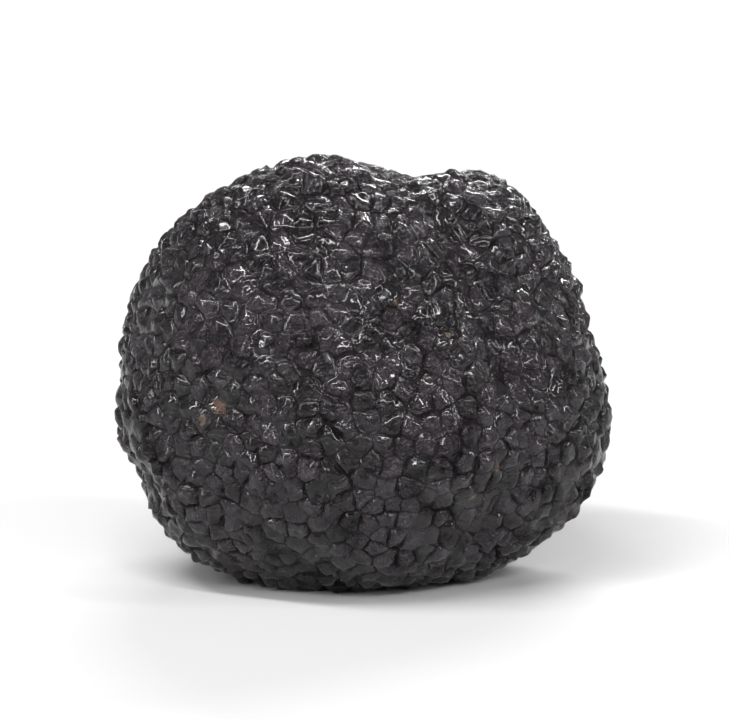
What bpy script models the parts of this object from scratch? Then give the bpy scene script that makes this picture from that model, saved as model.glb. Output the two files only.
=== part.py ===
"""A whole black truffle lying on a table, as one closed solid.

The body is a few round lobes that have grown into each other, with shallow hollows. Furrows cut its
skin into low warts of four to eight sides. Each wart is a small pyramid whose tip leans a little off
its middle. The skin is pressed flat where the truffle lies. Metres, with +Z up, +X to the right and
-Y towards the viewer. The origin is on the table, under the middle of the truffle.
"""

import math
import random

import bmesh
import bpy
import numpy as np
from mathutils import Vector, noise

# Driving dimensions
WIDTH = 0.036  # along X
DEPTH = 0.033  # along Y
HEIGHT = 0.031  # along Z
WART_SPACING = 0.00135  # least distance between the tips of two large warts
WART_HEIGHT = 0.00050  # from the furrow to the tip of a middling wart
PRESSED_HEIGHT = 0.0013  # how much of the underside is pressed flat

# The lobes: centre and radius, measured from the middle of the body
LOBES = (
    ((-0.0020, 0.0000, 0.0000), 0.0150),
    ((0.0065, -0.0008, -0.0032), 0.0112),
    ((0.0056, 0.0042, 0.0042), 0.0097),
    ((0.0012, -0.0058, -0.0029), 0.0106),
    ((-0.0036, 0.0062, -0.0041), 0.0105),
    ((-0.0056, -0.0022, -0.0030), 0.0113),
    ((0.0094, 0.0046, -0.0028), 0.0074),
    ((-0.0046, -0.0036, 0.0054), 0.0094),
)
LOBE_BLEND = 0.0009  # how softly one lobe runs into the next
LONGEST_REACH = 0.03  # beyond the body in every direction
HALVINGS = 24  # when the surface is looked for along a ray

# The hollows: each runs from one direction to another, with its half width as an angle and its depth
HOLLOWS = (
    ((0.42, -0.30, 0.86), (0.70, -0.70, 0.14), 0.14, 0.0014),
    ((-0.12, 0.45, 0.88), (0.28, 0.32, 0.90), 0.22, 0.0013),
    ((-0.52, 0.82, 0.25), (-0.86, 0.45, -0.22), 0.13, 0.0012),
    ((0.62, 0.70, -0.36), (0.28, 0.93, -0.20), 0.17, 0.0013),
    ((0.55, -0.70, -0.45), (0.10, -0.90, -0.42), 0.14, 0.0008),
    ((-0.82, -0.42, -0.38), (-0.92, 0.10, -0.38), 0.12, 0.0007),
)
HOLLOW_POINTS = 16  # along each hollow, closer together than it is wide

# The skin swells and sinks a little everywhere: width and height of the swells
SWELLS = ((0.0085, 0.0007), (0.0038, 0.00028))

# How the warts vary
SEED = 7
TRIES = 50000  # places tried for a wart
SMALLEST_SHARE = 0.74  # of the spacing, for the finest warts
PATCH_WIDTH = 0.006  # warts of like size stand in patches this wide
WORN_SHARE = 0.55  # of the height, where the skin is most worn
WORN_WIDTH = 0.009  # width of the worn patches
PATCH_FULLNESS = 1.3  # above 1, more of the skin has the patches' full value
TIP_LEAN = 0.22  # how far a tip may stand off its wart's middle, as a share of the wart's reach
LOWEST_SHARE = 0.62  # of the height, for the lowest warts
SPAN_SHARE = 1.3  # a middling wart's span, as a share of the spacing
LARGEST_SIZE = 1.5  # a wart's height grows with its span up to this many times
SHORTEST_FURROW = 0.00014  # corners nearer than this become one

SKIN_COLOR = (0.017, 0.0145, 0.0145, 1.0)
SKIN_ROUGHNESS = 0.36


def clear_scene():
    for item in list(bpy.data.objects):
        bpy.data.objects.remove(item, do_unlink=True)


def lobe_gaps(points):
    """Distance from each point to each lobe's surface, less than 0 inside."""
    return np.stack([np.linalg.norm(points - np.array(centre), axis=1) - radius for centre, radius in LOBES])


def blended_gap(points):
    """Distance to the body, with the lobes run into each other."""
    return -LOBE_BLEND * np.log(np.exp(-lobe_gaps(points) / LOBE_BLEND).sum(axis=0))


def lobe_reach(directions):
    """How far the lobes reach from the middle in each direction, found by halving."""
    inside = np.zeros(len(directions))
    outside = np.full(len(directions), LONGEST_REACH)
    for _ in range(HALVINGS):
        middle = (inside + outside) / 2
        within = blended_gap(directions * middle[:, None]) < 0
        inside = np.where(within, middle, inside)
        outside = np.where(within, outside, middle)
    return inside


def unit(vectors):
    return vectors / np.linalg.norm(vectors, axis=-1, keepdims=True)


def hollow_depth(directions):
    """How deep the hollows are in each direction."""
    depth = np.zeros(len(directions))
    along = np.linspace(0, 1, HOLLOW_POINTS)[:, None]
    for start, end, half_width, deepest in HOLLOWS:
        line = unit(unit(np.array(start)) * (1 - along) + unit(np.array(end)) * along)
        angle = np.arccos(np.clip(directions @ line.T, -1.0, 1.0)).min(axis=1)
        depth += deepest * np.exp(-((angle / half_width) ** 2))
    return depth


def swell_height(points):
    """How far the skin swells out at each point."""
    height = np.zeros(len(points))
    for width, most in SWELLS:
        height += most * np.array([noise.noise(Vector(point) / width) for point in points])
    return height


def body_points(directions):
    """The body's smooth surface in each direction from its middle."""
    reach = lobe_reach(directions) - hollow_depth(directions)
    points = directions * reach[:, None]
    return points + directions * swell_height(points)[:, None]


def body_normals(points):
    """The way out of the body at each point: the lobes' own, each by how near it is."""
    nearness = np.exp(-lobe_gaps(points) / LOBE_BLEND)
    normals = np.zeros_like(points)
    for weight, (centre, _) in zip(nearness, LOBES):
        away = points - np.array(centre)
        normals += away * (weight / np.linalg.norm(away, axis=1))[:, None]
    return unit(normals)


def patch_share(point, width, least):
    """A share that changes softly over patches of this width, from the least to 1."""
    patch = PATCH_FULLNESS * (0.5 + 0.5 * noise.noise(Vector(point) / width))
    return least + (1 - least) * min(1.0, max(0.0, patch))


def random_directions(count, chance):
    """Unit vectors spread evenly over all directions."""
    return unit(np.array([[chance.gauss(0, 1) for _ in range(3)] for _ in range(count)]))


def scatter_warts(chance):
    """A direction for each wart. No two warts are nearer than the spacing of the larger one."""
    tried = random_directions(TRIES, chance)
    places = body_points(tried)
    kept = np.empty((TRIES, 3))
    spacings = np.empty(TRIES)
    directions = []
    for direction, place in zip(tried, places):
        count = len(directions)
        spacing = WART_SPACING * patch_share(place, PATCH_WIDTH, SMALLEST_SHARE)
        gaps = np.linalg.norm(kept[:count] - place, axis=1)
        if (gaps < np.maximum(spacings[:count], spacing)).any():
            continue
        kept[count] = place
        spacings[count] = spacing
        directions.append(direction)
    return np.array(directions)


def wart_outlines(seeds):
    """The furrow corners, as directions, and for each seed the corners round it in order.

    The hull of points on a sphere joins neighbours, and each of its faces looks out at the corner
    that lies equally far from three of them.
    """
    hull = bmesh.new()
    for seed in seeds:
        hull.verts.new(seed)
    bmesh.ops.convex_hull(hull, input=hull.verts)
    hull.faces.index_update()
    hull.normal_update()
    corners = []
    for face in hull.faces:
        looks_out = face.normal.dot(face.calc_center_median()) > 0
        corners.append(face.normal.copy() if looks_out else -face.normal)
    outlines = []
    for vertex in hull.verts:
        outward = vertex.co.normalized()
        across = outward.orthogonal().normalized()
        along = outward.cross(across)
        outline = [face.index for face in vertex.link_faces]
        outline.sort(key=lambda corner: math.atan2(along.dot(corners[corner]), across.dot(corners[corner])))
        outlines.append(outline)
    hull.free()
    return np.array(corners), outlines


def wart_tips(corners, outlines, chance):
    """A direction for each tip, near the middle of its wart."""
    tips = []
    for outline in outlines:
        middle = corners[outline].mean(axis=0)
        reach = np.linalg.norm(corners[outline] - middle, axis=1).mean()
        lean = np.array([chance.uniform(-1, 1) for _ in range(3)]) * TIP_LEAN * reach
        tips.append(middle + lean)
    return unit(np.array(tips))


def wart_heights(rims, outlines, feet, chance):
    """A tip's height over its furrows: less on a small or a worn wart, and varied."""
    heights = []
    for outline, foot in zip(outlines, feet):
        span = 2 * np.linalg.norm(rims[outline] - foot, axis=1).mean()
        size = min(LARGEST_SIZE, span / (WART_SPACING * SPAN_SHARE))
        worn = patch_share(foot, WORN_WIDTH, WORN_SHARE)
        heights.append(WART_HEIGHT * size * worn * chance.uniform(LOWEST_SHARE, 1.0))
    return np.array(heights)


def skin_mesh():
    """The warted skin: each wart is a fan of triangles from its tip to its furrows."""
    chance = random.Random(SEED)
    corners, outlines = wart_outlines(scatter_warts(chance))
    rims = body_points(corners)
    tips = wart_tips(corners, outlines, chance)
    feet = body_points(tips)
    heights = wart_heights(rims, outlines, feet, chance)
    tops = feet + body_normals(feet) * heights[:, None]
    skin = bmesh.new()
    rim_verts = [skin.verts.new(point) for point in rims]
    for top, outline in zip(tops, outlines):
        tip = skin.verts.new(top)
        for here, after in zip(outline, outline[1:] + outline[:1]):
            skin.faces.new((tip, rim_verts[here], rim_verts[after]))
    bmesh.ops.remove_doubles(skin, verts=skin.verts, dist=SHORTEST_FURROW)
    bmesh.ops.recalc_face_normals(skin, faces=skin.faces)
    return skin


def press_flat(skin):
    """Presses the underside flat, where the truffle rests. Its warts keep their outlines there."""
    floor = min(vertex.co.z for vertex in skin.verts) + PRESSED_HEIGHT
    for vertex in skin.verts:
        vertex.co.z = max(vertex.co.z, floor)


def bring_to_size(skin):
    """Brings the skin to its driving dimensions, standing on the table round the origin."""
    points = np.array([vertex.co for vertex in skin.verts])
    low = points.min(axis=0)
    high = points.max(axis=0)
    middle = Vector(((low[0] + high[0]) / 2, (low[1] + high[1]) / 2, low[2]))
    scale = Vector((WIDTH, DEPTH, HEIGHT))
    for axis in range(3):
        scale[axis] /= high[axis] - low[axis]
    for vertex in skin.verts:
        vertex.co = (vertex.co - middle) * scale


def skin_material():
    material = bpy.data.materials.new("black_wet_skin")
    material.use_nodes = True
    shader = material.node_tree.nodes["Principled BSDF"]
    shader.inputs["Base Color"].default_value = SKIN_COLOR
    shader.inputs["Roughness"].default_value = SKIN_ROUGHNESS
    shader.inputs["Metallic"].default_value = 0.0
    return material


def make_truffle():
    skin = skin_mesh()
    press_flat(skin)
    bring_to_size(skin)
    mesh = bpy.data.meshes.new("truffle")
    skin.to_mesh(mesh)
    skin.free()
    mesh.materials.append(skin_material())
    truffle = bpy.data.objects.new("truffle", mesh)
    bpy.context.scene.collection.objects.link(truffle)


def main():
    clear_scene()
    make_truffle()


main()
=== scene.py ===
"""A whole black truffle, wet and finely warted, lying on a pale table.

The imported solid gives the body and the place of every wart. One operator grows the fine skin over it,
and one sets the table, the lights and the camera. Lengths are metres, with +Z up, +X to the right and
-Y towards the viewer.
"""

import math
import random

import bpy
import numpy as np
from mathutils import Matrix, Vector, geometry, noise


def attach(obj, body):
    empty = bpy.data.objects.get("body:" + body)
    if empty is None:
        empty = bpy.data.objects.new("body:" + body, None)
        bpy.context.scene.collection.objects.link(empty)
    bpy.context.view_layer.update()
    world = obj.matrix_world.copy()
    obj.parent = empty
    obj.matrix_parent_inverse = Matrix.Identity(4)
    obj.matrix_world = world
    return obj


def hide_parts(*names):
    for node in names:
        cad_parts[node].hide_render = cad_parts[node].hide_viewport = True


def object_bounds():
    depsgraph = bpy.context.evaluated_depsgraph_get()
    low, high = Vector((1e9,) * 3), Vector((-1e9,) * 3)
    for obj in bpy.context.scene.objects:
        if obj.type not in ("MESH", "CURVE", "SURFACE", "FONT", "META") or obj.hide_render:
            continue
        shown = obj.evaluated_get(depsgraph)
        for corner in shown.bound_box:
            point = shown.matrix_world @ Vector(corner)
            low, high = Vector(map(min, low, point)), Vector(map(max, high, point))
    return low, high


bl_info = {
    "name": "Black truffle",
    "version": (1, 0, 0),
    "blender": (4, 5, 0),
    "location": "3D View > Sidebar > Truffle",
    "description": "Grows the warted skin of a black truffle and sets it on a pale table",
    "category": "Add Mesh",
}

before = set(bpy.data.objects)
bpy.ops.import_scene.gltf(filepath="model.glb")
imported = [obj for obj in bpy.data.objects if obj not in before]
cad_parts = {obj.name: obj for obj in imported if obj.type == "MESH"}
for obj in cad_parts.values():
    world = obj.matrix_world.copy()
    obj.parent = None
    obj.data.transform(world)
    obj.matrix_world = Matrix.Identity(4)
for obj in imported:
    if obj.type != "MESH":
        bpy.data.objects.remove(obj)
CAD_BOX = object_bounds()

NODE = "truffle"

# The solid that the skin grows over
WELD_DIGITS = 7  # corners of the solid that agree to this many decimals are one
FLAT_LEVEL = 1e-6  # the solid's flat spot lies below this height
SMOOTHING_ROUNDS = 4  # until the warts are gone from the body
NO_TIP = -1

# How the warts are shaped. A rise is 0 in the furrow and 1 at the tip.
HIGHEST_TOP = 1.25  # of the tip's height: a wart whose top is above 1 doesn't level off
LEVEL_SLOPE = 0.15  # how much of its slope a wart keeps where it levels off
SINKS_FROM = 0.5  # rise from which a sunken tip sinks in
LEANS_FROM = 0.4  # rise from which a wart leans in full
ROUNDING_BIAS = 1.5  # above 1, fewer of the warts are worn round
ROUNDING_ROUNDS = 2  # how often each point is drawn towards its neighbours

# How the furrows change along their way. A cut is 1 at the full furrow depth and 0 level with the solid.
CUT_CHANGE = 0.0016  # length over which a furrow grows deeper or shallower
CUT_VARIETY = 1.6  # how far the cut changes either way
LEAST_CUT = -0.9  # where a furrow has nearly closed
MOST_CUT = 1.6
CLOSED_GAP = 0.00010  # added to the distance to a furrow where its cut is 0

# The relief on the warts
PIMPLES_FROM = 0.3  # rise from which the pimples stand in full
FINE_PIMPLES = 0.5  # height of the pimples of half the width, as a share of the others'
GROOVE_TURNS = 1.8  # more of these, and the grooves stand closer round a tip
WART_OFFSET = 37.0  # a wart's tone times this shifts the noise, so each wart has its own grooves
NO_SPOKE = 1e-6  # nearer to its tip than this, a point has no direction from it
WANDER_SEED = 5  # noise vectors change with the time of day unless they are seeded

# The flat spot's pressed warts
PRESSED_STEP = 0.00034  # between the points there
PRESSED_WART = 0.0016  # between the warts' middles
PRESSED_FURROW = 0.0003  # half width of the furrows
PRESSED_TONE = 0.5  # the same for all of them
STRAY = 0.6  # how far a scattered point may stand off its grid place, in steps of the grid
RIM_CLEARANCE = 0.00006  # from the rim to the nearest point inside it
WELD_GAP = 1e-7  # points nearer than this are one

# Chips in the skin as they show from the front: across and up from the origin, radius and redness
CHIPS = (
    (-0.0102, 0.0147, 0.00050, 1.0),
    (-0.0113, 0.0135, 0.00028, 0.2),
    (-0.0115, 0.0138, 0.00026, 0.2),
    (-0.0154, 0.0090, 0.00028, 0.5),
    (-0.0106, 0.0033, 0.00030, 0.4),
)
SCATTERED_RADII = (0.0002, 0.00045)  # of the chips at random

# The map that the skin is unfolded onto
MAP_NAME = "OFBake"
MAP_FILL = 0.985  # share of the map's width that the skin takes, which leaves room at its edges

# The skin's colour: the widths of its patches, and where each begins and is full on a scale of 0 to 1
CHARCOAL_WIDTH = 0.006
MOTTLE_WIDTH = 0.0009
SPECKLE_WIDTH = 0.00016
CHARCOAL_SHOWS = (0.40, 0.62)
WORN_RISE = (0.45, 1.0)
WORN_MOTTLE = (0.60, 0.95)
WORN_SPECKLE = (0.35, 0.6)
MOST_WORN = 0.8  # share of the worn grey on the most worn tips
BROWN_AND_SHADE_GAP = 0.00020  # how far from a furrow its brown and its painted shade reach
CHIP_SHOWS = (0.42, 0.58)
CHIP_RAGGED = 1.2  # how far the noise eats into a chip's rim
MOST_CHIPPED = 0.85  # share of the flesh's colour in the middle of a chip

# The skin's gloss
WET_WIDTH = 0.0028
WET_SHOWS = (0.30, 0.52)
GLOSS_SPECK_WIDTH = 0.00022
DRY_ROUGHNESS = 0.24
WET_ROUGHNESS = -0.10  # added where the skin is wet
SPECK_ROUGHNESS = 0.10  # added in the specks
FURROW_ROUGHNESS = 0.40  # added in the furrows
MOST_COAT = 0.80  # weight of the wet coat where the skin is wettest
COAT_ROUGHNESS = 0.08
COAT_IOR = 1.33
SKIN_IOR = 1.29

# The bump: the width and height of each kind of relief
FOLD = (0.00075, 0.00052)
PEBBLE = (0.00040, -0.00030)  # below 0, because the distance to a pebble's middle grows outwards
CRACK = (0.00085, 0.00006)
CRACK_RIM = 0.10  # width of a crack, as a share of the cell beside it
GRAIN = (0.00010, 0.00003)
FLUTE_TURNS = 4.5  # more of these, and the fine grooves stand closer round a tip
FLUTE_HEIGHT = 0.00022

# The stage
TABLE_SIZE = 8.0
TABLE_ROUGHNESS = 0.7
CLIP_START = 0.01  # nothing stands nearer to the camera
KEY_FROM = (-0.50, -0.48, 1.00)  # the way to the main light from the truffle

# Strip lights for the wet skin to glint from: the middle of each, and its width and height
STRIPS = (
    ((-0.25, -0.40, 0.93), (0.90, 0.042)),
    ((0.30, -0.82, 0.60), (0.70, 0.026)),
    ((-0.78, -0.65, 0.48), (0.038, 0.75)),
    ((0.85, -0.35, 0.48), (0.032, 0.65)),
    ((0.20, 0.85, 0.68), (0.75, 0.040)),
)


class SkinSettings(bpy.types.PropertyGroup):
    """Sizes and colours of the skin."""

    steps: bpy.props.IntProperty(
        name="Steps",
        description="Rows of faces from a furrow to the tip of a wart",
        default=5,
        min=2,
        max=8,
    )
    row_spread: bpy.props.FloatProperty(
        name="Row spread",
        description="Above 1, the rows of faces crowd towards the furrow",
        default=1.35,
    )
    fullness_least: bpy.props.FloatProperty(
        name="Least fullness",
        description="Shape of the leanest warts: at 1 the flanks are straight",
        default=0.95,
    )
    fullness_most: bpy.props.FloatProperty(
        name="Most fullness",
        description="Shape of the fullest warts, whose flanks bulge",
        default=1.9,
    )
    lowest_top: bpy.props.FloatProperty(
        name="Lowest top",
        description="Height at which the flattest warts level off, as a share of the tip's",
        default=0.55,
        subtype="FACTOR",
    )
    furrow_depth: bpy.props.FloatProperty(
        name="Furrow depth",
        description="How deep the furrows are cut below the solid",
        default=0.00017,
        unit="LENGTH",
    )
    furrow_openness: bpy.props.FloatProperty(
        name="Furrow openness",
        description="At 1, nearly every furrow is open, and at 0 half of them have closed",
        default=0.30,
        subtype="FACTOR",
    )
    wrinkle_height: bpy.props.FloatProperty(
        name="Wrinkle height",
        description="Height of the sharp wrinkles that run over the warts and the furrows",
        default=0.00010,
        unit="LENGTH",
    )
    wrinkle_width: bpy.props.FloatProperty(
        name="Wrinkle width",
        description="Length from one wrinkle to the next",
        default=0.0011,
        unit="LENGTH",
    )
    sunken_share: bpy.props.FloatProperty(
        name="Sunken share",
        description="Share of the warts whose tips have sunk in",
        default=0.3,
        subtype="FACTOR",
    )
    sunken_depth: bpy.props.FloatProperty(
        name="Sunken depth",
        description="How far a sunken tip has sunk, as a share of its height",
        default=0.55,
        subtype="FACTOR",
    )
    wobble: bpy.props.FloatProperty(
        name="Wobble",
        description="How far the furrows and ridges wander from straight lines",
        default=0.00016,
        unit="LENGTH",
    )
    wobble_width: bpy.props.FloatProperty(
        name="Wobble width",
        description="Length over which they wander",
        default=0.0008,
        unit="LENGTH",
    )
    pimple_height: bpy.props.FloatProperty(
        name="Pimple height",
        description="Height of the small bumps on each wart",
        default=0.00013,
        unit="LENGTH",
    )
    pimple_width: bpy.props.FloatProperty(
        name="Pimple width",
        description="Width of the small bumps on each wart",
        default=0.00045,
        unit="LENGTH",
    )
    groove_depth: bpy.props.FloatProperty(
        name="Groove depth",
        description="Depth of the grooves that run down each wart's flanks",
        default=0.00011,
        unit="LENGTH",
    )
    tilt: bpy.props.FloatProperty(
        name="Tilt",
        description="How far the warts lean over, as a share of their height",
        default=0.60,
        subtype="FACTOR",
    )
    rounding: bpy.props.FloatProperty(
        name="Rounding",
        description="How far the ridges of the roundest warts are worn round",
        default=0.5,
        subtype="FACTOR",
    )
    scattered_chips: bpy.props.IntProperty(
        name="Scattered chips",
        description="How many small chips lie at random on the skin",
        default=14,
        min=0,
    )
    black: bpy.props.FloatVectorProperty(
        name="Black",
        description="Colour of most of the skin",
        default=(0.0040, 0.0030, 0.0038),
        size=3,
        subtype="COLOR",
    )
    charcoal: bpy.props.FloatVectorProperty(
        name="Charcoal",
        description="Colour of the paler patches",
        default=(0.0160, 0.0122, 0.0156),
        size=3,
        subtype="COLOR",
    )
    # Deep in the furrows: partly the real brown at the warts' feet, partly painted shade that makes the
    # furrows darker than the charcoal patches
    furrow_brown_and_shade: bpy.props.FloatVectorProperty(
        name="Furrow brown and shade",
        description="Colour deep in the furrows",
        default=(0.0075, 0.0045, 0.0035),
        size=3,
        subtype="COLOR",
    )
    worn_grey: bpy.props.FloatVectorProperty(
        name="Worn grey",
        description="Colour of the worn tips",
        default=(0.070, 0.061, 0.066),
        size=3,
        subtype="COLOR",
    )
    flesh_red: bpy.props.FloatVectorProperty(
        name="Red flesh",
        description="Colour of the reddest chips",
        default=(0.088, 0.053, 0.038),
        size=3,
        subtype="COLOR",
    )
    flesh_tan: bpy.props.FloatVectorProperty(
        name="Tan flesh",
        description="Colour of the palest chips",
        default=(0.105, 0.078, 0.054),
        size=3,
        subtype="COLOR",
    )
    seed: bpy.props.IntProperty(
        name="Seed",
        description="Picks how the warts vary",
        default=11,
    )


class StageSettings(bpy.types.PropertyGroup):
    """The table, the lights and the camera."""

    azimuth: bpy.props.FloatProperty(
        name="Azimuth",
        description="Where the camera stands round the truffle, 0 in front of it",
        default=0.0,
        subtype="ANGLE",
    )
    elevation: bpy.props.FloatProperty(
        name="Elevation",
        description="How far the camera looks down",
        default=math.radians(11.0),
        subtype="ANGLE",
    )
    focal_length: bpy.props.FloatProperty(
        name="Focal length",
        description="The camera's lens, in millimetres",
        default=250.0,
        unit="CAMERA",
    )
    fill: bpy.props.FloatProperty(
        name="Fill",
        description="Share of the picture's width that the truffle takes",
        default=0.68,
        subtype="FACTOR",
    )
    table_color: bpy.props.FloatVectorProperty(
        name="Table colour",
        description="Colour of the table",
        default=(0.44, 0.44, 0.44),
        size=3,
        subtype="COLOR",
    )
    sky_strength: bpy.props.FloatProperty(
        name="Surround strength",
        description="Brightness of the white surround",
        default=0.19,
    )
    key_strength: bpy.props.FloatProperty(
        name="Key strength",
        description="Strength of the soft light from the upper left",
        default=0.5,
    )
    key_angle: bpy.props.FloatProperty(
        name="Key angle",
        description="How large the soft light looks from the truffle",
        default=math.radians(20.0),
        subtype="ANGLE",
    )
    strip_brightness: bpy.props.FloatProperty(
        name="Strip brightness",
        description="Brightness of the strip lights that the wet skin glints from",
        default=100.0,
    )


def unit(vectors):
    return vectors / np.linalg.norm(vectors, axis=1)[:, None]


def between(first, second, share):
    """From the first at a share of 0 to the second at 1."""
    return first * (1 - share)[:, None] + second * share[:, None]


def smoothstep(low, high, values):
    share = np.clip((values - low) / (high - low), 0, 1)
    return share * share * (3 - 2 * share)


def noise_at(points, width):
    """Soft noise from -1 to 1 whose lumps are about this wide."""
    return np.array([noise.noise(Vector(point)) for point in points / width])


def wander_at(points, width):
    """Soft noise vectors whose lumps are about this wide."""
    noise.seed_set(WANDER_SEED)
    return np.array([noise.noise_vector(Vector(point)) for point in points / width])


def weld_solid(node):
    """The solid's corners and triangles, with corners that coincide made one."""
    mesh = node.data
    mesh.calc_loop_triangles()
    places = np.array([vertex.co for vertex in mesh.vertices])
    corners, which = np.unique(np.round(places, WELD_DIGITS), axis=0, return_inverse=True)
    triangles = which.reshape(-1)[np.array([triangle.vertices for triangle in mesh.loop_triangles])]
    return corners, triangles


def ring_means(values, triangles):
    """For each corner, the mean of the values at the corners round it."""
    sums = np.zeros_like(values)
    counts = np.zeros(len(values))
    for here in range(3):
        after = (here + 1) % 3
        np.add.at(sums, triangles[:, here], values[triangles[:, after]])
        np.add.at(counts, triangles[:, here], 1)
    return sums / counts[:, None]


def corner_normals(corners, triangles):
    """The way out of the body at each corner, with the warts smoothed away."""
    smooth = corners
    for _ in range(SMOOTHING_ROUNDS):
        smooth = (smooth + ring_means(smooth, triangles)) / 2
    first, second, third = (smooth[triangles[:, place]] for place in range(3))
    slopes = np.cross(second - first, third - first)
    normals = np.zeros_like(corners)
    for place in range(3):
        np.add.at(normals, triangles[:, place], slopes)
    return unit(normals)


def neighbours(triangles):
    """For each directed edge, its triangle and the corner across from it."""
    across = {}
    for number, (first, second, third) in enumerate(triangles.tolist()):
        across[first, second] = (number, third)
        across[second, third] = (number, first)
        across[third, first] = (number, second)
    return across


def find_tips(corners, triangles, normals):
    """The tip of the wart that each triangle belongs to, or NO_TIP on the flat spot.

    Each triangle of a wart runs from its tip to a furrow. A neighbour across the furrow has its tip at
    the far corner, and the other two neighbours share this one. So one known tip gives all the others.
    """
    across = neighbours(triangles)
    flat = corners[triangles][:, :, 2].max(axis=1) < FLAT_LEVEL
    standing_out = ((corners - ring_means(corners, triangles)) * normals).sum(axis=1)
    highest = int(np.argmax(standing_out))
    start = int(np.argmax((triangles == highest).any(axis=1)))
    tips = np.full(len(triangles), NO_TIP)
    tips[start] = highest
    waiting = [start]
    while waiting:
        number = waiting.pop()
        tip = tips[number]
        first, second, third = triangles[number].tolist()
        for here, after in ((first, second), (second, third), (third, first)):
            neighbour, far_corner = across[after, here]
            if flat[neighbour] or tips[neighbour] != NO_TIP:
                continue
            tips[neighbour] = tip if tip in (here, after) else far_corner
            waiting.append(neighbour)
    return tips


def wart_sizes(corners, triangles, tips, normals):
    """For each corner that is a tip: its height over its furrows, and how far off they are."""
    on_warts = tips != NO_TIP
    owners = np.tile(tips[on_warts], 3)
    rims = triangles[on_warts].T.ravel()
    is_rim = rims != owners
    owners, rims = owners[is_rim], rims[is_rim]
    counts = np.maximum(np.bincount(owners, minlength=len(corners)), 1)
    rim_sums = np.zeros_like(corners)
    np.add.at(rim_sums, owners, corners[rims])
    reaches = np.zeros(len(corners))
    np.add.at(reaches, owners, np.linalg.norm(corners[rims] - corners[owners], axis=1))
    heights = ((corners - rim_sums / counts[:, None]) * normals).sum(axis=1)
    return heights, reaches / counts


class Warts:
    """The solid's warts, each known by the corner at its tip, and how each differs from the others."""

    def __init__(self, node, settings):
        self.corners, self.triangles = weld_solid(node)
        self.normals = corner_normals(self.corners, self.triangles)
        self.tips = find_tips(self.corners, self.triangles, self.normals)
        self.heights, self.reaches = wart_sizes(self.corners, self.triangles, self.tips, self.normals)
        self.vary(random.Random(settings.seed), settings)

    def vary(self, chance, settings):
        """Draws each trait once for every corner of the solid."""
        every = range(len(self.corners))
        least, most = settings.fullness_least, settings.fullness_most
        self.fullness = np.array([chance.uniform(least, most) for _ in every])
        self.top = np.array([chance.uniform(settings.lowest_top, HIGHEST_TOP) for _ in every])
        self.sunken = np.array([chance.random() < settings.sunken_share for _ in every])
        self.rounding = np.array([chance.random() ** ROUNDING_BIAS for _ in every]) * settings.rounding
        self.tone = np.array([chance.random() for _ in every])
        self.tilt = np.array([[chance.uniform(-1, 1) for _ in range(3)] for _ in every]) * settings.tilt


class SkinGrid:
    """Lays rows of points over each triangle of the solid, from its furrow up to its wart's tip.

    A point that two triangles share is laid once. Each point knows the three corners it lies between,
    its rise (0 in the furrow, 1 at the tip) and its share of the way along its row.
    """

    def __init__(self, steps, row_spread):
        self.steps = steps
        self.rises = [(row / steps) ** row_spread for row in range(steps + 1)]
        self.numbers = {}
        self.corners = []
        self.places = []
        self.faces = []

    def key(self, tip, left, right, row, place):
        """A name for a point that is the same from each triangle that shares it."""
        last = self.steps - row
        if row == self.steps:
            return ("corner", tip)
        if row == 0 and place in (0, last):
            return ("corner", right if place else left)
        if row == 0:
            return ("furrow", left, right, place) if left < right else ("furrow", right, left, last - place)
        if place in (0, last):
            return ("ridge", tip, right if place else left, row)
        return ("flank", tip, left, right, row, place)

    def point(self, tip, left, right, row, place):
        """The number of a point, which is laid when it is first asked for."""
        key = self.key(tip, left, right, row, place)
        if key not in self.numbers:
            self.numbers[key] = len(self.numbers)
            self.corners.append((tip, left, right))
            self.places.append((self.rises[row], place / max(1, self.steps - row)))
        return self.numbers[key]

    def lay(self, tip, left, right):
        """Lays the points and faces of one triangle."""
        rows = []
        for row in range(self.steps + 1):
            rows.append([self.point(tip, left, right, row, place) for place in range(self.steps - row + 1)])
        for lower, upper in zip(rows, rows[1:]):
            for place, above in enumerate(upper):
                self.faces.append((lower[place], lower[place + 1], above))
                if place:
                    self.faces.append((lower[place], above, upper[place - 1]))


def lay_skin(warts, settings):
    """A grid over every triangle that belongs to a wart."""
    grid = SkinGrid(settings.steps, settings.row_spread)
    for triangle, tip in zip(warts.triangles.tolist(), warts.tips.tolist()):
        if tip == NO_TIP:
            continue
        start = triangle.index(tip)
        grid.lay(tip, triangle[(start + 1) % 3], triangle[(start + 2) % 3])
    return grid


def wart_lift(warts, tip, rise, spoke, settings):
    """How high each point of a wart stands: domed, levelled off, sunken at the tip and leaning."""
    dome = 1 - (1 - rise) ** warts.fullness[tip]
    dome = np.minimum(dome, warts.top[tip] + LEVEL_SLOPE * (dome - warts.top[tip]))
    sunk = settings.sunken_depth * smoothstep(SINKS_FROM, 1.0, rise) * warts.sunken[tip]
    slant = (spoke * warts.tilt[tip]).sum(axis=1) * smoothstep(0.0, LEANS_FROM, rise)
    return warts.heights[tip] * (dome - sunk + slant)


def grooves_at(spokes, tones):
    """From 0 to 1 in grooves that run straight out from each tip."""
    places = spokes / np.maximum(np.linalg.norm(spokes, axis=1), NO_SPOKE)[:, None] * GROOVE_TURNS
    return np.abs(noise_at(places + tones[:, None] * WART_OFFSET, 1.0))


def add_relief(lift, base, rise, spoke, tone, settings):
    """Adds the grooves down the flanks, the pimples and the wrinkles to each point's height."""
    lift = lift - settings.groove_depth * grooves_at(spoke, tone) * np.sin(math.pi * rise)
    width = settings.pimple_width
    pimples = noise_at(base, width) + FINE_PIMPLES * noise_at(base, width / 2)
    lift = lift + settings.pimple_height * smoothstep(0.0, PIMPLES_FROM, rise) * pimples
    return lift + settings.wrinkle_height * (1 - 2 * np.abs(noise_at(base, settings.wrinkle_width)))


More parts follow.
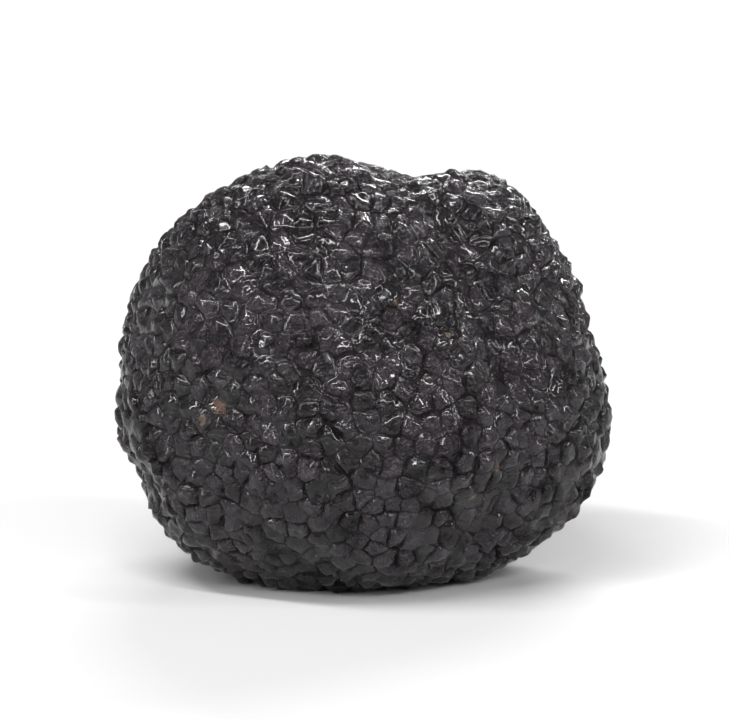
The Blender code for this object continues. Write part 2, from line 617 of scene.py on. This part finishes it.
def shape_skin(grid, warts, settings):
    """The fine skin's points, the values that its material reads there, and each point's wart."""
    tip, left, right = np.array(grid.corners).T
    rise, along = np.array(grid.places).T
    tone = warts.tone[tip]
    reach = warts.reaches[tip]
    foot = warts.corners[tip] - warts.normals[tip] * warts.heights[tip][:, None]
    furrow = between(warts.corners[left], warts.corners[right], along)
    furrow_normal = between(warts.normals[left], warts.normals[right], along)
    base = between(furrow, foot, rise)
    outward = unit(between(furrow_normal, warts.normals[tip], rise))
    spoke = (furrow - foot) * (1 - rise)[:, None] / reach[:, None]
    cut = np.clip(settings.furrow_openness + CUT_VARIETY * noise_at(base, CUT_CHANGE), LEAST_CUT, MOST_CUT)
    floor = -settings.furrow_depth * cut
    lift = np.maximum(wart_lift(warts, tip, rise, spoke, settings), floor)
    lift = add_relief(np.where(rise == 0, floor, lift), base, rise, spoke, tone, settings)
    points = base + outward * lift[:, None] + wander_at(base, settings.wobble_width) * settings.wobble
    gap = rise * reach + CLOSED_GAP * np.maximum(0, 1 - cut)
    return points, {"rise": rise, "gap": gap, "tone": tone, "spoke": spoke}, tip


def round_ridges(points, faces, amounts):
    """Draws each point towards the middle of its neighbours by its own amount."""
    triangles = np.array(faces)
    for _ in range(ROUNDING_ROUNDS):
        points = points + (ring_means(points, triangles) - points) * amounts[:, None]
    return points


def rim_edges(faces):
    """The edges that only one face has: the rim of the hole at the flat spot."""
    edges = set()
    for first, second, third in faces:
        edges.update(((first, second), (second, third), (third, first)))
    return [(here, after) for here, after in edges if (after, here) not in edges]


def scattered(low, high, spacing, chance):
    """Points about this far apart over a rectangle, each off its grid place by a random step."""
    places = []
    for x in np.arange(low[0], high[0], spacing):
        for y in np.arange(low[1], high[1], spacing):
            places.append((x + chance.uniform(0, STRAY) * spacing, y + chance.uniform(0, STRAY) * spacing))
    return np.array(places)


def clear_of_rim(inner, starts, ends):
    """The inner points that stand clear of the rim. One on a rim's edge would leave a slit beside it."""
    along = ends - starts
    share = ((inner[:, None] - starts) * along).sum(axis=2) / (along * along).sum(axis=1)
    nearest = starts + np.clip(share, 0, 1)[:, :, None] * along
    return inner[np.linalg.norm(inner[:, None] - nearest, axis=2).min(axis=1) > RIM_CLEARANCE]


def fill_rim(points, rim, edges, inner):
    """Lays faces from the rim to the points inside it. Gives back those points and the faces."""
    order = {number: place for place, number in enumerate(rim)}
    coords = [Vector(place) for place in np.concatenate((points[rim, :2], inner))]
    rim_pairs = [(order[here], order[after]) for here, after in edges]
    laid = geometry.delaunay_2d_cdt(coords, rim_pairs, [], 1, WELD_GAP)
    flat, patches, sources = laid[0], laid[2], laid[3]
    numbers = {}
    added = []
    for patch in patches:
        for corner in patch:
            if corner in numbers:
                continue
            from_rim = [source for source in sources[corner] if source < len(rim)]
            if from_rim:
                numbers[corner] = rim[from_rim[0]]
            else:
                numbers[corner] = len(points) + len(added)
                added.append(flat[corner])
    return np.array(added), [tuple(numbers[corner] for corner in reversed(patch)) for patch in patches]


def close_underside(points, values, faces, settings):
    """Closes the hole at the flat spot with warts that are pressed flat on the table."""
    chance = random.Random(settings.seed)
    edges = rim_edges(faces)
    rim = sorted({number for edge in edges for number in edge})
    points[rim, 2] = 0.0
    low, high = points[rim, :2].min(axis=0), points[rim, :2].max(axis=0)
    inner = scattered(low, high, PRESSED_STEP, chance)
    starts, ends = np.array([points[list(edge), :2] for edge in edges]).swapaxes(0, 1)
    added, patches = fill_rim(points, rim, edges, clear_of_rim(inner, starts, ends))
    middles = scattered(low - PRESSED_WART, high + PRESSED_WART, PRESSED_WART, chance)
    nearest = np.sort(np.linalg.norm(added[:, None] - middles[None], axis=2), axis=1)
    gap = (nearest[:, 1] - nearest[:, 0]) / 2
    height = settings.furrow_depth * (1 - smoothstep(0.0, PRESSED_FURROW, gap))
    extra = {
        "rise": np.minimum(1.0, gap * 2 / PRESSED_WART),
        "gap": gap,
        "tone": np.full(len(added), PRESSED_TONE),
        "spoke": np.zeros((len(added), 3)),
    }
    points = np.concatenate((points, np.column_stack((added, height))))
    values = {name: np.concatenate((value, extra[name])) for name, value in values.items()}
    return points, values, faces + patches


def chip_places(points, settings):
    """Where the chips lie: the middle, radius and redness of each."""
    chance = random.Random(settings.seed)
    chips = []
    for across, up, radius, redness in CHIPS:
        off = np.hypot(points[:, 0] - across, points[:, 2] - up) + (points[:, 1] > 0)
        chips.append((points[np.argmin(off)], radius, redness))
    for _ in range(settings.scattered_chips):
        middle = points[chance.randrange(len(points))]
        chips.append((middle, chance.uniform(*SCATTERED_RADII), chance.random()))
    return chips


def chip_values(points, settings):
    """How far inside a chip each point lies, 0.5 at its radius and 1 in its middle, and its redness."""
    inside = np.zeros(len(points))
    red = np.zeros(len(points))
    for middle, radius, redness in chip_places(points, settings):
        here = 1 - np.linalg.norm(points - middle, axis=1) / (2 * radius)
        red = np.where(here > inside, redness, red)
        inside = np.maximum(inside, here)
    return inside, red


def grow_skin(node, settings):
    """The whole fine skin over the solid: its points, the values at each, and its faces."""
    warts = Warts(node, settings)
    grid = lay_skin(warts, settings)
    points, values, tip = shape_skin(grid, warts, settings)
    points = round_ridges(points, grid.faces, warts.rounding[tip] * (values["rise"] > 0))
    points[:, 2] = np.maximum(points[:, 2], 0.0)
    points, values, faces = close_underside(points, values, grid.faces, settings)
    values["chip"], values["redness"] = chip_values(points, settings)
    return points, values, faces


def add_attribute(mesh, name, values):
    """Puts a number, or a vector, on each of the mesh's points."""
    is_vector = values.ndim == 2
    attribute = mesh.attributes.new(name, "FLOAT_VECTOR" if is_vector else "FLOAT", "POINT")
    attribute.data.foreach_set("vector" if is_vector else "value", values.astype(np.float32).ravel())


def add_map(mesh, points, faces):
    """Unfolds the skin onto a square map, in one piece and with areas kept.

    The top lies in the map's middle, and each quarter of the underside is folded out into a corner. A
    face that crosses from one quarter to the next is laid whole, a little past the edge.
    """
    middle = (points.min(axis=0) + points.max(axis=0)) / 2
    ways = unit(points - middle)[np.array(faces)]
    below = ways[:, :, 2] < 0
    quarter = np.where(ways.mean(axis=1)[:, None, :2] < 0, -1.0, 1.0)
    own = np.where(ways[:, :, :2] < 0, -1.0, 1.0)
    side = np.where(below[:, :, None], quarter, own)
    x, y = np.moveaxis(ways[:, :, :2] * side, 2, 0)
    reach = np.sqrt(1 - np.abs(ways[:, :, 2]))
    up = np.arctan2(y, x) * 2 / math.pi * reach
    across = reach - up
    places = np.stack((np.where(below, 1 - up, across), np.where(below, 1 - across, up)), axis=2) * side
    layer = mesh.uv_layers.new(name=MAP_NAME)
    layer.uv.foreach_set("vector", (0.5 + 0.5 * MAP_FILL * places).astype(np.float32).ravel())


class Value:
    """A shader socket that Python's operators work on. Each operator adds its Math node."""

    def __init__(self, shader, socket):
        self.shader = shader
        self.socket = socket

    def math(self, operation, first, second):
        return self.shader.add("Math", {"operation": operation}, {0: first, 1: second})

    def __add__(self, other):
        return self.math("ADD", self, other)

    __radd__ = __add__

    def __sub__(self, other):
        return self.math("SUBTRACT", self, other)

    def __rsub__(self, other):
        return self.math("SUBTRACT", other, self)

    def __mul__(self, other):
        return self.math("MULTIPLY", self, other)

    __rmul__ = __mul__


class Shader:
    """Builds one material. Every node comes from add()."""

    def __init__(self, name):
        self.material = bpy.data.materials.new(name)
        self.material.use_nodes = True
        self.tree = self.material.node_tree
        self.tree.nodes.clear()

    def add(self, kind, settings, inputs, output=0):
        """Adds a node: its settings first, then its sockets' values or links. Gives back one output."""
        node = self.tree.nodes.new("ShaderNode" + kind)
        for name, value in settings.items():
            setattr(node, name, value)
        for name, value in inputs.items():
            if isinstance(value, Value):
                self.tree.links.new(value.socket, node.inputs[name])
            else:
                node.inputs[name].default_value = value
        return Value(self, node.outputs[output]) if node.outputs else None

    def mix(self, factor, first, second):
        """Runs from the first colour at 0 to the second at 1."""
        inputs = {0: factor, 6: self.colour(first), 7: self.colour(second)}
        return self.add("Mix", {"data_type": "RGBA"}, inputs, 2)

    def colour(self, value):
        return value if isinstance(value, Value) else (*value, 1.0)

    def ramp(self, value, low, high):
        """From 0 where the value is low to 1 where it is high, with soft ends."""
        settings = {"interpolation_type": "SMOOTHSTEP"}
        return self.add("MapRange", settings, {"Value": value, "From Min": low, "From Max": high})

    def noise(self, place, width, detail=2.0, roughness=0.5):
        """Noise from 0 to 1 whose lumps are about this wide."""
        inputs = {"Vector": place, "Scale": 1 / width, "Detail": detail, "Roughness": roughness}
        return self.add("TexNoise", {}, inputs)

    def cells(self, place, width, feature):
        """Cells about this wide, by the distance to their middles or to their edges."""
        return self.add("TexVoronoi", {"feature": feature}, {"Vector": place, "Scale": 1 / width})

    def attribute(self, name, output=2):
        """A number that the mesh carries, or with output 1 a vector."""
        return self.add("Attribute", {"attribute_name": name}, {}, output)

    def vector(self, operation, *inputs):
        return self.add("VectorMath", {"operation": operation}, dict(enumerate(inputs)))

    def bump(self, height, distance):
        return self.add("Bump", {}, {"Height": height, "Distance": distance})

    def finish(self, inputs):
        """Puts these values and links on the surface, and gives back the material."""
        surface = self.add("BsdfPrincipled", {}, inputs)
        self.add("OutputMaterial", {}, {"Surface": surface})
        return self.material


def skin_colour(shader, settings, place, values, deep):
    """Black with charcoal patches, worn tips and small chips, and brown furrows darkened with painted
    shade.
    """
    patches = shader.noise(place, CHARCOAL_WIDTH, 3.0)
    mottle = shader.noise(place, MOTTLE_WIDTH, 4.0, 0.6)
    speckle = shader.noise(place, SPECKLE_WIDTH)
    tone = values["tone"]
    paler = shader.ramp(0.45 * patches + 0.35 * mottle + 0.2 * tone, *CHARCOAL_SHOWS)
    colour = shader.mix(paler, settings.black, settings.charcoal)
    worn = shader.ramp(values["rise"], *WORN_RISE) * shader.ramp(mottle + 0.35 * tone, *WORN_MOTTLE)
    worn = worn * shader.ramp(speckle, *WORN_SPECKLE) * MOST_WORN
    colour = shader.mix(worn, colour, settings.worn_grey)
    # Painted shade and brown deep in the furrows: the real brown at the warts' feet, made darker to stand
    # for the shade there
    colour = shader.mix(deep, colour, settings.furrow_brown_and_shade)
    flesh = shader.mix(values["redness"], settings.flesh_tan, settings.flesh_red)
    chipped = shader.ramp(values["chip"] + CHIP_RAGGED * (mottle + speckle - 1), *CHIP_SHOWS)
    return shader.mix(chipped * MOST_CHIPPED, colour, flesh)


def skin_relief(shader, place, values):
    """Folds, pebbles, cracks and grain, and fine grooves that run down from each tip."""
    spoke = shader.vector("NORMALIZE", values["spoke"])
    turns = shader.vector("MULTIPLY_ADD", spoke, (FLUTE_TURNS,) * 3, values["tone"] * WART_OFFSET)
    flutes = shader.noise(turns, 1.0)
    folds = shader.noise(place, FOLD[0], 3.0, 0.6)
    pebbles = shader.cells(place, PEBBLE[0], "SMOOTH_F1")
    cracks = shader.ramp(shader.cells(place, CRACK[0], "DISTANCE_TO_EDGE"), 0.0, CRACK_RIM)
    grain = shader.noise(place, GRAIN[0], 3.0, 0.6)
    height = FOLD[1] * folds + FLUTE_HEIGHT * flutes + CRACK[1] * cracks + GRAIN[1] * grain
    return shader.bump(height + PEBBLE[1] * pebbles, 1.0)


def skin_material(settings):
    """Wet black skin, glossy in places and dull in the furrows."""
    shader = Shader("black_wet_skin")
    place = shader.add("TexCoord", {}, {}, 3)
    values = {name: shader.attribute(name) for name in ("rise", "gap", "tone", "chip", "redness")}
    values["spoke"] = shader.attribute("spoke", 1)
    # Deep is 1 at a furrow's bottom. There the colour takes its brown and painted shade, the skin turns
    # rough and the coat is gone
    deep = 1 - shader.ramp(values["gap"], 0.0, BROWN_AND_SHADE_GAP)
    wet = shader.ramp(shader.noise(place, WET_WIDTH, 3.0), *WET_SHOWS)
    specks = shader.noise(place, GLOSS_SPECK_WIDTH)
    added = WET_ROUGHNESS * wet + SPECK_ROUGHNESS * specks + FURROW_ROUGHNESS * deep
    return shader.finish({
        "Base Color": skin_colour(shader, settings, place, values, deep),
        "Roughness": DRY_ROUGHNESS + added,
        "Coat Weight": MOST_COAT * wet * (1 - deep),
        "Coat Roughness": COAT_ROUGHNESS,
        "Coat IOR": COAT_IOR,
        "IOR": SKIN_IOR,
        "Normal": skin_relief(shader, place, values),
    })


class TRUFFLE_OT_skin(bpy.types.Operator):
    """Grow the warted skin over the solid"""

    bl_idname = "truffle.skin"
    bl_label = "Truffle skin"

    def execute(self, context):
        settings = context.scene.truffle_skin
        points, values, faces = grow_skin(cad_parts[NODE], settings)
        mesh = bpy.data.meshes.new("truffle_skin")
        mesh.from_pydata(points.tolist(), [], faces)
        for name, value in values.items():
            add_attribute(mesh, name, value)
        add_map(mesh, points, faces)
        mesh.shade_smooth()
        mesh.materials.append(skin_material(settings))
        skin = bpy.data.objects.new("truffle_skin", mesh)
        context.scene.collection.objects.link(skin)
        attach(skin, "root")
        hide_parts(NODE)
        return {"FINISHED"}


def add_table(settings):
    bpy.ops.mesh.primitive_plane_add(size=TABLE_SIZE, location=(0, 0, 0))
    table = bpy.context.object
    table.name = "table"
    inputs = {"Base Color": (*settings.table_color, 1), "Roughness": TABLE_ROUGHNESS}
    table.data.materials.append(Shader("pale_table").finish(inputs))


def add_surround(scene, strength):
    """White light from all round."""
    world = bpy.data.worlds.new("surround")
    world.use_nodes = True
    background = world.node_tree.nodes["Background"]
    background.inputs["Color"].default_value = (1, 1, 1, 1)
    background.inputs["Strength"].default_value = strength
    scene.world = world


def add_key(settings):
    """The main light: soft, and as strong everywhere on the table."""
    data = bpy.data.lights.new("key", "SUN")
    data.energy = settings.key_strength
    data.angle = settings.key_angle
    light = bpy.data.objects.new("key", data)
    light.rotation_euler = Vector(KEY_FROM).to_track_quat("Z", "Y").to_euler()
    bpy.context.scene.collection.objects.link(light)


def add_strip(name, place, target, size, brightness):
    """A light of this width and height that faces the target. Its power follows from its brightness."""
    data = bpy.data.lights.new(name, "AREA")
    data.shape = "RECTANGLE"
    data.size, data.size_y = size
    data.energy = brightness * math.pi * data.size * data.size_y
    light = bpy.data.objects.new(name, data)
    light.location = place
    light.rotation_euler = (Vector(target) - Vector(place)).to_track_quat("-Z", "Y").to_euler()
    bpy.context.scene.collection.objects.link(light)


def add_camera(settings, centre, width):
    """Looks at the truffle's middle from far enough off that its width takes its share of the picture."""
    data = bpy.data.cameras.new("camera")
    data.lens = settings.focal_length
    data.clip_start = CLIP_START
    camera = bpy.data.objects.new("camera", data)
    bpy.context.scene.collection.objects.link(camera)
    bpy.context.scene.camera = camera
    distance = width / settings.fill * data.lens / data.sensor_width
    azimuth, elevation = settings.azimuth, settings.elevation
    back = Vector((
        math.sin(azimuth) * math.cos(elevation),
        -math.cos(azimuth) * math.cos(elevation),
        math.sin(elevation),
    ))
    camera.location = centre + back * distance
    camera.rotation_euler = (-back).to_track_quat("-Z", "Y").to_euler()


class TRUFFLE_OT_stage(bpy.types.Operator):
    """Set the table, the lights and the camera"""

    bl_idname = "truffle.stage"
    bl_label = "Table, lights and camera"

    def execute(self, context):
        settings = context.scene.truffle_stage
        low, high = CAD_BOX
        centre = (low + high) / 2
        add_table(settings)
        add_surround(context.scene, settings.sky_strength)
        add_key(settings)
        for number, (place, size) in enumerate(STRIPS):
            add_strip(f"strip_{number}", place, centre, size, settings.strip_brightness)
        add_camera(settings, centre, high.x - low.x)
        context.scene.view_settings.view_transform = "Standard"
        return {"FINISHED"}


class VIEW3D_PT_truffle(bpy.types.Panel):
    """The truffle's tools in the sidebar"""

    bl_label = "Black truffle"
    bl_space_type = "VIEW_3D"
    bl_region_type = "UI"
    bl_category = "Truffle"

    def draw(self, context):
        scene = context.scene
        for settings, operator in (
            (scene.truffle_skin, TRUFFLE_OT_skin),
            (scene.truffle_stage, TRUFFLE_OT_stage),
        ):
            for name in settings.bl_rna.properties.keys():
                if name not in ("rna_type", "name"):
                    self.layout.prop(settings, name)
            self.layout.operator(operator.bl_idname)


CLASSES = (SkinSettings, StageSettings, TRUFFLE_OT_skin, TRUFFLE_OT_stage, VIEW3D_PT_truffle)


def register():
    for item in CLASSES:
        bpy.utils.register_class(item)
    bpy.types.Scene.truffle_skin = bpy.props.PointerProperty(type=SkinSettings)
    bpy.types.Scene.truffle_stage = bpy.props.PointerProperty(type=StageSettings)


def unregister():
    del bpy.types.Scene.truffle_stage
    del bpy.types.Scene.truffle_skin
    for item in reversed(CLASSES):
        bpy.utils.unregister_class(item)


def main():
    register()
    bpy.ops.truffle.skin()
    bpy.ops.truffle.stage()


if __name__ == "__main__":
    main()
